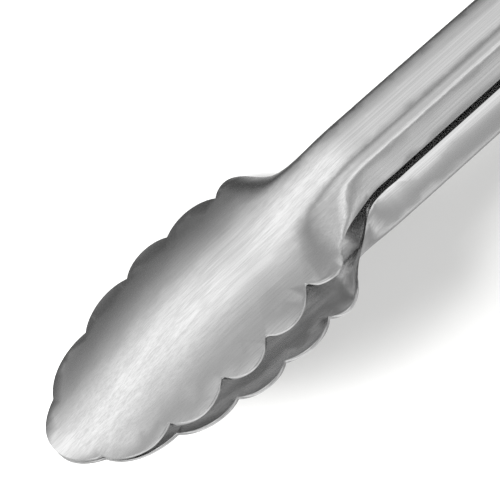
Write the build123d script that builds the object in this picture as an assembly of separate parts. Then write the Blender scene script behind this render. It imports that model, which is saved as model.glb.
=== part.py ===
from build123d import *
from math import cos, pi, radians, sin, tan
import os

# Spring loaded kitchen tongs, closed and unlocked, lying on their side. All sizes are in millimetres.
# Working frame: the hinge pin runs along Z through the zero point, +X points to the gripping tips,
# and the arms open along Y: the front arm is the -Y one, the rear arm the +Y one.

# Arms: pressed sheet with a channel section that flares into a dished head
sheet = 1.0
section_step = 4.0           # spacing of the sections that shape the sheet
arm_length = 290.0           # pin axis to tip
back_height_hinge = 12.2     # mid-plane to the arm's back at the hinge
back_height_neck = 13.3      # the same where the head begins
half_width_hinge = 8.6
half_width_waist = 7.0
half_width_neck = 7.3
waist_from_pin = 120.0
arch_angle = radians(9)      # how far the back has turned where its bend starts
bend_radius = 2.6            # outside radius between back and wall
curl_angle = radians(13)     # how far the wall rolls inward towards its free edge
arm_gap = 2.2                # between the two arms' free edges
tip_gap = 0.3                # between the two tips
nest_gap = 0.25              # between the nested hinge cheeks, each side

# Head outline: notches between the scallops, measured from the tip
notch_from_tip = [6.9, 21.9, 36.6, 49.3, 62.9]
notch_half_width = [10.7, 17.7, 19.7, 20.1, 17.9]
scallop_rise = 3.3
neck_from_tip = 89.0         # the channel starts to flare here
dish_from_tip = 66.0         # and is a plain dish from here on
last_scallop_crest = (67.2, 20.5)        # distance from the tip, half width
last_scallop_end = (73.0, 17.0)
flare_start = (87.0, 8.6)
flare_edge = [(88.0, 0.0), (79.5, 2.6), (67.0, 2.8), (46.0, 0.0)]   # from the tip, rise of the free edge
jaw_start = 30.0             # from the tip: the free edges start to close towards each other
jaw_closed = 8.0             # and are the tip gap apart from here on
# Head side view: distance from the tip, height of the crown above the mid-plane
head_profile = [(0.0, 1.15), (6.9, 2.2), (21.9, 5.8), (36.6, 8.6), (49.3, 9.8), (64.0, 10.4), (80.0, 12.3)]
dish_radius = 52.0
dish_lip = 0.45              # how far the scallops flatten again towards their edge

# Hinge
pin_radius = 2.0
pin_flat = 1.5               # mid-plane to each flat on the pin's middle
run_gap = 0.05               # running clearance of the pin in the cheeks
side_gap = 0.1               # end float between turning parts
cheek_radius = 7.0
back_end = 3.0               # how far the back runs past the pin
cheek_to_edge = 17.0         # where the cheek has faded into the free edge
washer_radius = 4.6
washer_thickness = 0.6
washer_edge = 0.12           # chamfer on its rims
head_radius = 3.9
head_height = 1.7
tail_radius = 3.3
tail_height = 1.5
bush_wall = 0.9

# Spring
wire = 1.3
coil_gap = 0.2               # bush to the inside of the coil
turn_gap = 0.06              # between neighbouring turns
outer_leg_end = 30.0
bridge_end = 16.0
leg_bend = 1.6
coil_lift = 1.6              # straight run of each leg as it leaves its coil, less the wire
arch_drop = 0.75             # how far the back has curved down where its bend starts
leg_gap = 0.25               # spring leg to the arm's inner face

# Lock
strip = 1.6
lock_travel = 6.0
slot_gap = 0.1               # flats of the pin to the slot, each side
slot_wall = 2.1
stem_half = 1.9
tab_from_pin = 22.0
tab_half = 2.5
tab_gap = 0.5                # stem to the end of each tab
lance_gap = 0.2              # tab to the sides of the hole it was folded from
barb_low = 4.2
barb_high = 6.2
barb_gap = 1.2               # tip of a barb to the tab when unlocked
window_gap = 0.45            # barb to the window's edge
crossbar = 3.0
ring_centre = 25.0           # pin to ring, unlocked
ring_radius = 10.0
hang_radius = 6.5
ring_fillet = 3.0            # where the strip meets the ring

arm_edge = arm_gap / 2
rear_half_width_hinge = half_width_hinge - sheet - nest_gap
barb_length = lock_travel - 0.5 + barb_gap


def ease(low, high, x):
    # 0 below low, 1 above high, smooth between
    t = min(1.0, max(0.0, (x - low) / (high - low)))
    return t * t * (3 - 2 * t)


def curve_through(points, x):
    # smooth curve through (x, value) points given in rising x
    if x <= points[0][0]:
        return points[0][1]
    if x >= points[-1][0]:
        return points[-1][1]
    i = max(k for k in range(len(points) - 1) if points[k][0] <= x)

    def slope(k):
        low = max(k - 1, 0)
        high = min(k + 1, len(points) - 1)
        return (points[high][1] - points[low][1]) / (points[high][0] - points[low][0])

    span = points[i + 1][0] - points[i][0]
    t = (x - points[i][0]) / span
    rise = t * t * (3 - 2 * t)
    start = points[i][1] * (1 - rise) + points[i + 1][1] * rise
    return start + span * (slope(i) * t * (1 - t) ** 2 - slope(i + 1) * t * t * (1 - t))


def crown_height(x):
    points = [(arm_length - far, height) for far, height in reversed(head_profile)]
    neck = arm_length - neck_from_tip
    straight = [(0.0, back_height_hinge), (neck, back_height_neck)]
    return curve_through(straight + points, x)


def dish_half_width(x):
    points = [(arm_length - far, half) for far, half in zip(notch_from_tip, notch_half_width)]
    return curve_through(points[::-1], x)


def channel_half_width(x, nested):
    hinge_side = ease(20.0, waist_from_pin, x)
    neck_side = ease(waist_from_pin, arm_length - neck_from_tip, x)
    half = half_width_hinge + (half_width_waist - half_width_hinge) * hinge_side
    half += (half_width_neck - half_width_waist) * neck_side
    if nested:
        half -= (sheet + nest_gap) * (1 - ease(cheek_to_edge, 50.0, x))
    return half


def channel_angle(s, x, nested):
    # direction of the section at arc length s from the crown: 0 along Z, a quarter turn along Y
    half = channel_half_width(x, nested)
    arch_length = (half - bend_radius * (1 - sin(arch_angle))) * arch_angle / sin(arch_angle)
    bend_length = bend_radius * (pi / 2 - arch_angle)
    if s < arch_length:
        return arch_angle * s / arch_length
    if s < arch_length + bend_length:
        return arch_angle + (s - arch_length) / bend_radius
    wall = crown_height(x) - arm_edge - bend_radius
    curl = curl_angle * ease(cheek_to_edge, 55.0, x)
    return pi / 2 + curl * min(1.0, (s - arch_length - bend_length) / wall)


def section_angle(s, x, nested):
    flare = ease(arm_length - neck_from_tip, arm_length - dish_from_tip, x)
    edge = dish_half_width(x)
    dish = s / dish_radius * (1 - dish_lip * ease(0.85 * edge, 1.3 * edge, s))
    return (1 - flare) * channel_angle(s, x, nested) + flare * dish


def half_section(x, nested, depth, length, count):
    # points (y, z) at a depth under the outer face, from the crown outwards
    steps = 12
    y = -crown_height(x)
    z = 0.0
    points = [(y + depth, z)]
    for i in range(count):
        for k in range(steps):
            s = length * (i + (k + 0.5) / steps) / count
            angle = section_angle(s, x, nested)
            y += sin(angle) * length / count / steps
            z += cos(angle) * length / count / steps
        turn = section_angle(length * (i + 1) / count, x, nested)
        points.append((y + depth * cos(turn), z - depth * sin(turn)))
    return points


def blank_half_length(x):
    # arc length of the untrimmed sheet from the crown to its edge
    at_hinge = back_height_hinge + half_width_hinge + cheek_radius + 1.0
    in_arm = back_height_neck + half_width_neck - 1.2
    in_head = max(notch_half_width) + scallop_rise + 4.5
    hinge_side = ease(cheek_to_edge, 60.0, x)
    head_side = ease(arm_length - neck_from_tip - 6.0, arm_length - dish_from_tip - 8.0, x)
    return at_hinge + (in_arm - at_hinge) * hinge_side + (in_head - in_arm) * head_side


def pressed_face(nested, depth):
    # smooth face through evenly spaced sections, at a depth under the outer face
    start = -back_end - cheek_radius
    span = arm_length + 2.0 - start
    count = round(span / section_step)
    columns = 24
    rows = []
    for i in range(count + 1):
        x = start + span * i / count
        half = half_section(x, nested, depth, blank_half_length(x), columns)
        right = [Vector(x, y, z) for y, z in half]
        left = [Vector(x, y, -z) for y, z in half[:0:-1]]
        rows.append(left + right)
    return Face.make_surface_from_array_of_points(rows, tol=0.02, min_deg=3, max_deg=3)


def blank(nested):
    # the pressed sheet before it is trimmed
    outer = pressed_face(nested, 0.0)
    inner = pressed_face(nested, sheet)
    rims = [Face.make_surface_from_curves(a, b) for a, b in zip(outer.edges(), inner.edges())]
    return Solid(Shell([outer, inner] + rims))


def head_outline():
    # plan view of the whole arm, in the X-Z plane
    notches = [(arm_length - far, half) for far, half in zip(notch_from_tip, notch_half_width)]
    side = []
    for (x1, z1), (x2, z2) in zip(notches, notches[1:]):
        length = ((x2 - x1) ** 2 + (z2 - z1) ** 2) ** 0.5
        middle_x = (x1 + x2) / 2 - (z1 - z2) / length * scallop_rise
        middle_z = (z1 + z2) / 2 - (x2 - x1) / length * scallop_rise
        side.append(((x1, z1), (middle_x, middle_z), (x2, z2)))
    crest = (arm_length - last_scallop_crest[0], last_scallop_crest[1])
    end = (arm_length - last_scallop_end[0], last_scallop_end[1])
    side.append((notches[-1], crest, end))
    return side


def plan_trim():
    side = head_outline()
    tip_z = side[0][0][1]
    tip_x = side[0][0][0]
    end = side[-1][2]
    foot = (arm_length - flare_start[0], flare_start[1])
    wide = half_width_hinge + 6.0
    edges = [ThreePointArc((tip_x, -tip_z), (arm_length, 0), (tip_x, tip_z))]
    for sign in (1, -1):
        for start, middle, end in side:
            edges.append(ThreePointArc(*[(x, sign * z) for x, z in (start, middle, end)]))
        bend = [end, (end[0] - 4.6, end[1] - 5.0), (foot[0] + 5.0, foot[1] + 1.4), foot]
        edges.append(Bezier(*[(x, sign * z) for x, z in bend]))
        edges.append(Line((foot[0], sign * foot[1]), (foot[0] - 4.0, sign * wide)))
        edges.append(Line((foot[0] - 4.0, sign * wide), (-30.0, sign * wide)))
    edges.append(Line((-30.0, wide), (-30.0, -wide)))
    face = make_face(edges)
    flat = Plane(origin=(0, 0, 0), x_dir=(1, 0, 0), z_dir=(0, -1, 0)) * face
    return extrude(flat, amount=60.0, both=True)


def side_trim():
    # side view of the front arm, in the X-Y plane: cheek round the pin, then the free edge
    deep = -back_height_neck - 10.0
    away = -cheek_radius * cos(radians(20))
    start = (away, -cheek_radius * sin(radians(20)))
    rise = (cheek_radius * cos(radians(40)), cheek_radius * sin(radians(40)))
    leave = (rise[0] + 3.6, rise[1] - 3.6 * tan(radians(50)))
    shoulder = (cheek_to_edge, -arm_edge)
    neck = [(arm_length - distance, -arm_edge - lift) for distance, lift in flare_edge]
    far = arm_length + 20.0
    outline = Curve() + [
        ThreePointArc(start, (0, cheek_radius), rise),
        Bezier(rise, leave, (shoulder[0] - 5.0, shoulder[1]), shoulder),
        Line(shoulder, neck[0]),
        Spline(*neck, tangents=[(1, 0), (1, 0)]),
        Line(neck[-1], (arm_length - jaw_start, -arm_edge)),
        Line((arm_length - jaw_start, -arm_edge), (arm_length - jaw_closed, -tip_gap / 2)),
        Line((arm_length - jaw_closed, -tip_gap / 2), (far, -tip_gap / 2)),
        Line((far, -tip_gap / 2), (far, deep)),
        Line((far, deep), (-back_end, deep)),
        Line((-back_end, deep), (-back_end, -back_height_hinge + 1.5)),
        Bezier((-back_end, -back_height_hinge + 1.5), (-back_end, -6.0), (away - 0.5, -5.0), start),
    ]
    return extrude(make_face(outline.edges()), amount=60.0, both=True)


def lock_tab():
    # tab lanced from the back and folded inward, with a window that a barb enters
    outer = -crown_height(tab_from_pin) + sheet / 2
    inner = -stem_half - tab_gap
    tab = Pos(tab_from_pin, (outer + inner) / 2, 0) * Box(sheet, inner - outer, 2 * tab_half)
    low = barb_low - window_gap
    high = barb_high + window_gap + 0.8
    window = Pos(tab_from_pin, -(low + high) / 2, 0) * Box(3 * sheet, high - low, strip + 2 * window_gap)
    return tab - window


def lance_cut():
    # where the tab was folded out of the back
    length = crown_height(tab_from_pin) - stem_half - tab_gap
    start = tab_from_pin + sheet / 2
    box = Box(length, 8.0, 2 * (tab_half + lance_gap))
    return Pos(start + length / 2, -crown_height(tab_from_pin), 0) * box


def arm(nested):
    body = blank(nested) & side_trim() & plan_trim()
    body -= lance_cut()
    body += lock_tab()
    body -= Cylinder(pin_radius + run_gap, 60.0)
    return body


def hinge_pin():
    seat = half_width_hinge + side_gap + washer_thickness
    shank = Cylinder(pin_radius, 2 * seat)
    flat_half = strip / 2 + side_gap
    for sign in (1, -1):
        cut = Pos(0, sign * (pin_flat + 2.0), 0) * Box(8.0, 4.0, 2 * flat_half)
        shank -= cut
    head = Pos(0, 0, -seat - head_height / 2) * Cylinder(head_radius, head_height)
    head = fillet(head.edges().sort_by(Axis.Z)[0], head_height * 0.85)
    peen = Pos(0, 0, seat + tail_height / 2) * Cylinder(tail_radius, tail_height)
    peen = fillet(peen.edges().sort_by(Axis.Z)[-1], tail_height * 0.6)
    return shank + head + peen


def washer(sign):
    ring = Cylinder(washer_radius, washer_thickness) - Cylinder(pin_radius + run_gap, 10.0)
    ring = chamfer(ring.edges().filter_by(GeomType.CIRCLE).sort_by(SortBy.RADIUS)[-2:], washer_edge)
    return Pos(0, 0, sign * (half_width_hinge + side_gap + washer_thickness / 2)) * ring


def coil_span():
    # start and end of one coil along the pin
    low = strip / 2 + 3 * side_gap
    high = rear_half_width_hinge - sheet - 2 * side_gap
    return low, high


def spring_bush(sign):
    low, high = coil_span()
    tube = Cylinder(pin_radius + run_gap + bush_wall, high - low) - Cylinder(pin_radius + run_gap, 20.0)
    return Pos(0, 0, sign * (low + high) / 2) * tube


def coil_size():
    # radius to the wire's centre, pitch, number of turns
    low, high = coil_span()
    radius = pin_radius + run_gap + bush_wall + coil_gap + wire / 2
    pitch = wire + turn_gap
    turns = int((high - low - wire) / pitch)
    return radius, pitch, turns


def rod(points, bend):
    # round wire along straight runs with rounded corners
    path = FilletPolyline(*points, radius=bend)
    start = Plane(origin=path @ 0, z_dir=path % 0)
    return sweep(start * Circle(wire / 2), path=path)


def torsion_spring():
    # outer legs push the rear arm, and the bridge between the coils pushes the front arm
    radius, pitch, turns = coil_size()
    low = coil_span()[0] + wire / 2
    high = low + turns * pitch
    lift = coil_lift + wire
    bridge_y = -crown_height(bridge_end) + sheet + leg_gap + wire / 2
    corner = bend_radius - sheet - leg_gap - wire / 2
    past_bend = max(0.0, high - rear_half_width_hinge + bend_radius)
    room = max(0.0, corner ** 2 - past_bend ** 2) ** 0.5
    leg_y = crown_height(outer_leg_end) - bend_radius - arch_drop + room
    spring = rod([(radius, 0, low), (radius, -lift, low), (bridge_end, bridge_y, low),
                  (bridge_end, bridge_y, -low), (radius, -lift, -low), (radius, 0, -low)], leg_bend)
    coil = Pos(0, 0, low) * Helix(pitch, turns * pitch, radius)
    coil = sweep(Plane(origin=coil @ 0, z_dir=coil % 0) * Circle(wire / 2), path=coil, is_frenet=True)
    leg = rod([(radius, 0, high), (radius, lift, high), (outer_leg_end, leg_y, high)], leg_bend)
    for half in (coil, leg):
        spring += half
        spring += mirror(half, about=Plane.XY)
    return spring


def lock_slide():
    # flat strip: barbed nose, stem between the tabs, slot over the pin, pull ring
    slot_half = pin_flat + slot_gap
    block_half = slot_half + slot_wall
    slot_front = lock_travel + pin_radius + side_gap
    block_front = slot_front + slot_wall
    nose_back = tab_from_pin + sheet / 2 + barb_gap + barb_length
    block = Pos((block_front - ring_centre) / 2, 0) * Rectangle(block_front + ring_centre, 2 * block_half)
    block = fillet(block.vertices().group_by(Axis.X)[-1], slot_wall)
    stem = Pos(nose_back / 2, 0) * Rectangle(nose_back + 2.0, 2 * stem_half)
    bar = Pos(nose_back + crossbar / 2, 0) * Rectangle(crossbar, 2 * barb_high)
    bar = fillet(bar.vertices().group_by(Axis.X)[-1], crossbar * 0.6)
    face = block + stem + bar + Pos(-ring_centre, 0) * Circle(ring_radius)
    for sign in (1, -1):
        tip = nose_back - barb_length
        barb = Polyline((nose_back + 0.1, sign * barb_low), (tip + 1.2, sign * barb_low),
                        (tip, sign * (barb_low + 0.5)), (tip, sign * (barb_high - 0.5)),
                        (tip + 1.2, sign * barb_high), (nose_back + 0.1, sign * barb_high), close=True)
        face += make_face(barb.edges())
    slot_back = pin_radius + side_gap
    slot_length = slot_front + slot_back
    slot = Pos((slot_front - slot_back) / 2, 0) * Rectangle(slot_length, 2 * slot_half)
    slot = fillet(slot.vertices(), slot_half * 0.6)
    face -= slot
    face -= Pos(-ring_centre, 0) * Circle(hang_radius)
    neck = face.vertices().filter_by(lambda v: abs(abs(v.Y) - block_half) < 0.01 and v.X < -5)
    face = fillet(neck, ring_fillet)
    return Pos(0, 0, -strip / 2) * extrude(face, strip)


def build():
    nodes = {
        "rear_arm": mirror(arm(True), about=Plane.XZ),
        "front_arm": arm(False),
        "hinge_pin": hinge_pin(),
        "rivet_washer_left": washer(-1),
        "rivet_washer_right": washer(1),
        "spring_bush_left": spring_bush(-1),
        "spring_bush_right": spring_bush(1),
        "torsion_spring": torsion_spring(),
        "lock_slide": lock_slide(),
    }
    boxes = [shape.bounding_box() for shape in nodes.values()]
    middle_x = (min(box.min.X for box in boxes) + max(box.max.X for box in boxes)) / 2
    floor = min(box.min.Z for box in boxes)
    os.makedirs("parts", exist_ok=True)
    for name, shape in nodes.items():
        export_step(Pos(-middle_x, 0, -floor) * shape, f"parts/{name}.step")
    print(f"pin axis at x {-middle_x:.4f}, mid-width at z {-floor:.4f}")


build()
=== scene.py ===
from math import cos, radians, sin

import bpy
from mathutils import Matrix, Vector


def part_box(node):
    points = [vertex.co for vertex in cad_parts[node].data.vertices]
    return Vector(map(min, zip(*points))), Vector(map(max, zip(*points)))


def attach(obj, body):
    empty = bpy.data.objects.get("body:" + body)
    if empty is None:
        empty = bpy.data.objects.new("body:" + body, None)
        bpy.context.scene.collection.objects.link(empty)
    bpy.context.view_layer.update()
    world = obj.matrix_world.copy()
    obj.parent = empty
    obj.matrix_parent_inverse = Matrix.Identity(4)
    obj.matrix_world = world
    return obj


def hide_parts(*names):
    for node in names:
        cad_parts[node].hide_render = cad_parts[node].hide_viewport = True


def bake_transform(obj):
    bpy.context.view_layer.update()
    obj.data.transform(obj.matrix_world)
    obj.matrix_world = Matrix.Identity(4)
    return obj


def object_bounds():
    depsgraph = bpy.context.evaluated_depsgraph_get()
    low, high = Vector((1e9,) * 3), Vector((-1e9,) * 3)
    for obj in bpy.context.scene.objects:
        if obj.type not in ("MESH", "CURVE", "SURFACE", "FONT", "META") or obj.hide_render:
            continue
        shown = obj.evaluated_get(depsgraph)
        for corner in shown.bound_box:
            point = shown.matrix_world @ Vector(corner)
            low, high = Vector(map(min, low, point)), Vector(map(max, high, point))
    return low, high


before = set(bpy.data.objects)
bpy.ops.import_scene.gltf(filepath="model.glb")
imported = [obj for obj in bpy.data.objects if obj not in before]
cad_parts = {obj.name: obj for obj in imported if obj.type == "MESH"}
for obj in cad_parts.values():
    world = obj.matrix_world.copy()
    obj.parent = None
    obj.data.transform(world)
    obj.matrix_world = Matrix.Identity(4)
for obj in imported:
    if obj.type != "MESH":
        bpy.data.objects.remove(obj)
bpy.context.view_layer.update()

world = bpy.context.scene.world or bpy.data.worlds.new("studio")
bpy.context.scene.world = world

view = {
    "azimuth": 6.82,
    "elevation": 42.0,
    "roll": 133.85,
    "lens": 180.0,
    "sensor": 36.0,
    "target": (0.1029, -0.0100, 0.0262),
    "distance": 0.536,
    "nearest": 0.01,
}


def placeCamera():
    around, up, roll = (radians(view[key]) for key in ("azimuth", "elevation", "roll"))
    back = Vector((sin(around) * cos(up), -cos(around) * cos(up), sin(up)))
    level = Vector((cos(around), sin(around), 0.0))
    right = cos(roll) * level + sin(roll) * back.cross(level)
    top = back.cross(right)
    bpy.ops.object.camera_add()
    camera = bpy.context.object
    camera.name = "studioCamera"
    turn = Matrix((right, top, back)).transposed().to_4x4()
    place = Vector(view["target"]) + back * view["distance"]
    camera.matrix_world = Matrix.Translation(place) @ turn
    camera.data.lens = view["lens"]
    camera.data.sensor_width = view["sensor"]
    camera.data.clip_start = view["nearest"]
    camera.data.dof.use_dof = False
    bpy.context.scene.camera = camera


placeCamera()
print("camera placed")


def linear(hexColour):
    # sRGB hex to linear, with full alpha
    parts = [int(hexColour[i:i + 2], 16) / 255 for i in (1, 3, 5)]
    return [p / 12.92 if p <= 0.04045 else ((p + 0.055) / 1.055) ** 2.4 for p in parts] + [1.0]


def addNode(tree, kind, settings=None, **inputs):
    # one node with its settings, socket values and links; n0 is the first socket
    node = tree.nodes.new(kind)
    for name, value in (settings or {}).items():
        setattr(node, name, value)
    for name, value in inputs.items():
        numbered = name[0] == "n" and name[1:].isdigit()
        socket = node.inputs[int(name[1:]) if numbered else name.replace("_", " ")]
        if isinstance(value, bpy.types.NodeSocket):
            tree.links.new(value, socket)
        else:
            socket.default_value = value
    return node


def newMaterial(name):
    material = bpy.data.materials.new(name)
    material.use_nodes = True
    tree = material.node_tree
    tree.nodes.clear()
    return material, tree


brushedArm = {
    "light": "#e4e4e4",
    "dark": "#d2d2d2",
    "roughness": (0.16, 0.26),
    "anisotropy": 0.45,
    "fine": (70.0, 0.32, 0.32),        # mm between marks along x, y and z; drawn coarser than real, to show
    "coarse": (240.0, 1.5, 1.5),
    "depth": 0.0009,                   # mm
    "across": (1.0, 0.0, 0.0),         # brushing direction
}
peenedRivet = {
    "light": "#d6d5d3",
    "dark": "#b3b2b0",
    "roughness": (0.12, 0.26),
    "anisotropy": 0.0,
    "fine": (0.5, 0.5, 0.5),
    "coarse": (2.4, 2.4, 2.4),
    "depth": 0.010,
    "across": (0.0, 0.0, 1.0),
}
turnedBush = {
    "light": "#c2c1bf",
    "dark": "#9c9b99",
    "roughness": (0.22, 0.36),
    "anisotropy": 0.4,
    "fine": (4.0, 4.0, 0.14),
    "coarse": (3.0, 3.0, 0.9),
    "depth": 0.004,
    "across": (0.0, 0.0, 1.0),
}
drawnWire = {
    "light": "#b8b7b5",
    "dark": "#8d8c8a",
    "roughness": (0.20, 0.34),
    "anisotropy": 0.0,
    "fine": (0.9, 0.9, 0.12),
    "coarse": (3.5, 3.5, 0.8),
    "depth": 0.003,
    "across": (0.0, 0.0, 1.0),
}
satinStrip = {
    "light": "#cbcac8",
    "dark": "#b1b0ae",
    "roughness": (0.26, 0.38),
    "anisotropy": 0.2,
    "fine": (6.0, 0.22, 0.22),
    "coarse": (9.0, 1.6, 1.6),
    "depth": 0.003,
    "across": (1.0, 0.0, 0.0),
}


grain = {
    "fineDetail": 3.0,
    "coarseDetail": 2.0,
    "noiseRoughness": 0.6,
    "coarseShare": 0.4,
    "toneRange": (0.38, 0.62),         # the noise values that give the dark and the light colour
    "roughRange": (0.35, 0.65),        # and the ones that give the most and the least roughness
    "bumpStrength": 0.6,
}


def stainless(name, looks):
    material, tree = newMaterial(name)
    place = addNode(tree, "ShaderNodeTexCoord").outputs["Object"]

    def marks(spacing, detail):
        stretched = addNode(tree, "ShaderNodeMapping", Vector=place, Scale=[1000 / gap for gap in spacing])
        return addNode(tree, "ShaderNodeTexNoise", Vector=stretched.outputs["Vector"],
                       Scale=1.0, Detail=detail, Roughness=grain["noiseRoughness"]).outputs[0]

    scratches = marks(looks["fine"], grain["fineDetail"])
    streaks = marks(looks["coarse"], grain["coarseDetail"])
    both = addNode(tree, "ShaderNodeMix", {"data_type": "FLOAT"}, n0=grain["coarseShare"],
                   n2=scratches, n3=streaks)
    darkest, lightest = grain["toneRange"]
    tone = addNode(tree, "ShaderNodeMapRange", n0=both.outputs[0], n1=darkest, n2=lightest, n3=0.0, n4=1.0)
    colour = addNode(tree, "ShaderNodeMix", {"data_type": "RGBA"}, n0=tone.outputs[0],
                     n6=linear(looks["dark"]), n7=linear(looks["light"]))
    low, high = looks["roughness"]
    roughest, smoothest = grain["roughRange"]
    rough = addNode(tree, "ShaderNodeMapRange", n0=both.outputs[0], n1=roughest, n2=smoothest,
                    n3=high, n4=low)
    bump = addNode(tree, "ShaderNodeBump", Strength=grain["bumpStrength"],
                   Distance=looks["depth"] / 1000, Height=scratches)
    facing = addNode(tree, "ShaderNodeNewGeometry").outputs["Normal"]
    across = addNode(tree, "ShaderNodeVectorMath", {"operation": "CROSS_PRODUCT"},
                     n0=facing, n1=looks["across"])
    shader = addNode(tree, "ShaderNodeBsdfPrincipled", Base_Color=colour.outputs[2], Metallic=1.0,
                     Roughness=rough.outputs[0], Anisotropic=looks["anisotropy"],
                     Normal=bump.outputs[0], Tangent=across.outputs[0])
    addNode(tree, "ShaderNodeOutputMaterial", Surface=shader.outputs[0])
    return material


# belt-brushed sheet: fine parallel scratches along the length, soft wide highlights across them
brushedStainless = stainless("brushedStainlessSheet", brushedArm)
# cold-headed and peened: bright, with shallow hammer dents
peenedStainless = stainless("peenedStainlessRivet", peenedRivet)
# turned on a lathe: fine rings round the bore
turnedStainless = stainless("turnedStainlessBush", turnedBush)
# hard-drawn wire: darker and less even than the sheet
drawnStainless = stainless("drawnStainlessWire", drawnWire)
# tumbled after blanking: even satin with soft edges
satinStainless = stainless("satinStainlessStrip", satinStrip)
print("materials made")


weldGap = 2e-6                # m: corners nearer than this are one
sharpAngle = 40               # degrees: a sharper edge is rounded and stays crisp


def deselectAll():
    if bpy.context.object and bpy.context.object.mode != "OBJECT":
        bpy.ops.object.mode_set(mode="OBJECT")
    bpy.ops.object.select_all(action="DESELECT")


def mergedCopy(node, name):
    # the node's shape as one welded mesh in a new object
    deselectAll()
    piece = bpy.data.objects.new(name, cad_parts[node].data.copy())
    bpy.context.scene.collection.objects.link(piece)
    bpy.context.view_layer.objects.active = piece
    piece.select_set(True)
    if piece.data.has_custom_normals:
        bpy.ops.mesh.customdata_custom_splitnormals_clear()
    bpy.ops.object.mode_set(mode="EDIT")
    bpy.ops.mesh.select_all(action="SELECT")
    bpy.ops.mesh.remove_doubles(threshold=weldGap)
    bpy.ops.object.mode_set(mode="OBJECT")
    return piece


def roundEdges(piece, width, segments):
    # small rounding on the sharp edges, then smooth shading between them
    bevel = piece.modifiers.new("edge", "BEVEL")
    bevel.width = width / 1000
    bevel.segments = segments
    bevel.limit_method = "ANGLE"
    bevel.angle_limit = radians(sharpAngle)
    bpy.ops.object.modifier_apply(modifier=bevel.name)
    bpy.ops.object.shade_smooth_by_angle(angle=radians(sharpAngle))


def finishPiece(piece, nodes, material):
    piece.data.materials.clear()
    piece.data.materials.append(material)
    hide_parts(*nodes)


# name, CAD node, body, edge radius in mm, segments, slot, material
pieces = [
    ("frontArmSheet", "front_arm", "front_arm", 0.08, 2, "brushed_stainless_arm", brushedStainless),
    ("rearArmSheet", "rear_arm", "rear_arm", 0.08, 2, "brushed_stainless_arm", brushedStainless),
    ("hingeRivet", "hinge_pin", "pin", 0.10, 3, "bright_stainless_rivet", peenedStainless),
    ("rivetWasherLow", "rivet_washer_left", "pin", 0.05, 2, "bright_stainless_rivet", peenedStainless),
    ("rivetWasherTop", "rivet_washer_right", "pin", 0.05, 2, "bright_stainless_rivet", peenedStainless),
    ("springBushLow", "spring_bush_left", "pin", 0.12, 2, "turned_stainless_bush", turnedStainless),
    ("springBushTop", "spring_bush_right", "pin", 0.12, 2, "turned_stainless_bush", turnedStainless),
    ("lockSlideStrip", "lock_slide", "lock", 0.28, 3, "satin_stainless_strip", satinStainless),
]

for name, node, body, radius, segments, slot, material in pieces:
    piece = mergedCopy(node, name)
    roundEdges(piece, radius, segments)
    finishPiece(piece, [node], material)
    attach(piece, body)
print("arms, rivet and lock made")


def springHalf(name, side):
    # one coil with its leg and half the bridge, cut at mid-width
    low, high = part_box("torsion_spring")
    middle = (low + high) / 2
    half = mergedCopy("torsion_spring", name)
    bpy.ops.object.mode_set(mode="EDIT")
    bpy.ops.mesh.select_all(action="SELECT")
    bpy.ops.mesh.bisect(plane_co=(0.0, 0.0, middle.z), plane_no=(0.0, 0.0, side),
                        use_fill=True, clear_inner=True)
    bpy.ops.object.mode_set(mode="OBJECT")
    bpy.ops.object.shade_smooth_by_angle(angle=radians(sharpAngle))
    finishPiece(half, ["torsion_spring"], drawnStainless)
    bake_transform(half)


springHalf("springCoilTop", 1)
springHalf("springCoilLow", -1)
print("spring made")

studio = {
    "floorSize": 6.0,
    "floorDrop": 0.0002,               # m under the lowest point
    "floor": "#f3f3f2",
    "floorRoughness": 0.9,
    "daylight": 0.70,
    "skyStrength": 1.42,
    # what the metal mirrors: degrees around the long axis from straight ahead, and brightness
    "skyBands": [
        (-180, 0.36), (-150, 0.46), (-125, 0.44), (-106, 0.20), (-90, 0.06), (-82, 0.08),
        (-68, 0.20), (-60, 0.33), (-50, 0.58), (-42, 0.85), (-34, 0.91), (-26, 0.80),
        (-12, 0.44), (0, 0.28), (12, 0.46), (40, 0.66), (84, 0.66), (100, 0.95),
        (111, 1.15), (117, 0.85), (124, 0.42), (134, 0.32), (141, 0.48), (149, 0.74),
        (157, 0.74), (165, 0.46), (172, 0.32),
    ],
    # the surround dims towards the hinge end: where the dimming ends and starts, and the share left
    "endFade": (-0.16, 0.02, 0.72),
    "keyAim": (0.10, 0.0, 0.02),
    "keyFrom": (1.2, -2.0, 0.86),      # direction to the key light
    "keyDistance": 2.4,
    "keySize": (0.85, 0.7),
    "keyPower": 200.0,
}


def makeFloor():
    # white paper that takes the shadow; the metal mirrors the bands instead of it
    deselectAll()
    place = (0.0, 0.0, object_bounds()[0][2] - studio["floorDrop"])
    bpy.ops.mesh.primitive_plane_add(size=studio["floorSize"], location=place)
    floor = bpy.context.object
    floor.name = "studioFloor"
    bpy.ops.object.transform_apply(location=True, rotation=True, scale=True)
    material, tree = newMaterial("matteWhitePaper")
    shader = addNode(tree, "ShaderNodeBsdfPrincipled", Base_Color=linear(studio["floor"]),
                     Roughness=studio["floorRoughness"])
    shader.inputs["Specular IOR Level"].default_value = 0.0
    addNode(tree, "ShaderNodeOutputMaterial", Surface=shader.outputs[0])
    floor.data.materials.append(material)
    floor.visible_glossy = False
    floor.visible_shadow = False


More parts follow.
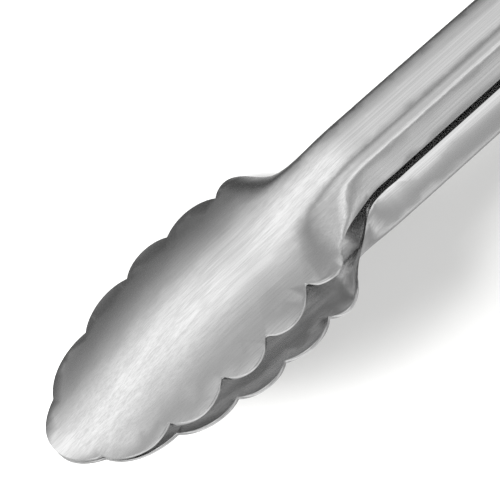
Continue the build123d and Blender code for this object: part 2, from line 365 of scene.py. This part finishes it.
def makeSky():
    # even daylight for the paper, and a banded surround that only mirror rays see
    world.use_nodes = True
    world.cycles.sampling_method = "NONE"
    tree = world.node_tree
    tree.nodes.clear()
    way = addNode(tree, "ShaderNodeTexCoord").outputs["Generated"]
    parts = addNode(tree, "ShaderNodeSeparateXYZ", Vector=way)
    ahead = addNode(tree, "ShaderNodeMath", {"operation": "MULTIPLY"}, n0=parts.outputs["Y"], n1=-1.0)
    around = addNode(tree, "ShaderNodeMath", {"operation": "ARCTAN2"},
                     n0=parts.outputs["Z"], n1=ahead.outputs[0])
    turn = addNode(tree, "ShaderNodeMapRange", n0=around.outputs[0], n1=radians(-180), n2=radians(180))
    bands = addNode(tree, "ShaderNodeValToRGB", Fac=turn.outputs[0])
    stops = bands.color_ramp.elements
    for index, (angle, bright) in enumerate(studio["skyBands"]):
        place = (angle + 180) / 360
        stop = stops[index] if index < 2 else stops.new(place)
        stop.position = place
        stop.color = (bright, bright, bright, 1.0)
    hingeEnd, tipEnd, dim = studio["endFade"]
    power = studio["skyStrength"]
    fade = addNode(tree, "ShaderNodeMapRange", n0=parts.outputs["X"], n1=hingeEnd, n2=tipEnd,
                   n3=dim * power, n4=power)
    mirrored = addNode(tree, "ShaderNodeBackground", Color=bands.outputs["Color"], Strength=fade.outputs[0])
    plain = addNode(tree, "ShaderNodeBackground", Color=(1.0, 1.0, 1.0, 1.0), Strength=studio["daylight"])
    ray = addNode(tree, "ShaderNodeLightPath")
    both = addNode(tree, "ShaderNodeMixShader", n0=ray.outputs["Is Glossy Ray"],
                   n1=plain.outputs[0], n2=mirrored.outputs[0])
    addNode(tree, "ShaderNodeOutputWorld", Surface=both.outputs[0])


def areaLight(name, place, aim, size, power):
    deselectAll()
    bpy.ops.object.light_add(type="AREA", location=place)
    light = bpy.context.object
    light.name = name
    light.data.shape = "RECTANGLE"
    light.data.size, light.data.size_y = size
    light.data.energy = power
    light.rotation_euler = (Vector(aim) - Vector(place)).to_track_quat("-Z", "Y").to_euler()
    light.visible_glossy = False


makeFloor()
makeSky()
aim = Vector(studio["keyAim"])
keyPlace = aim + Vector(studio["keyFrom"]).normalized() * studio["keyDistance"]
areaLight("keySoftbox", keyPlace, aim, studio["keySize"], studio["keyPower"])
bpy.context.scene.view_settings.view_transform = "Standard"
print("studio lit")
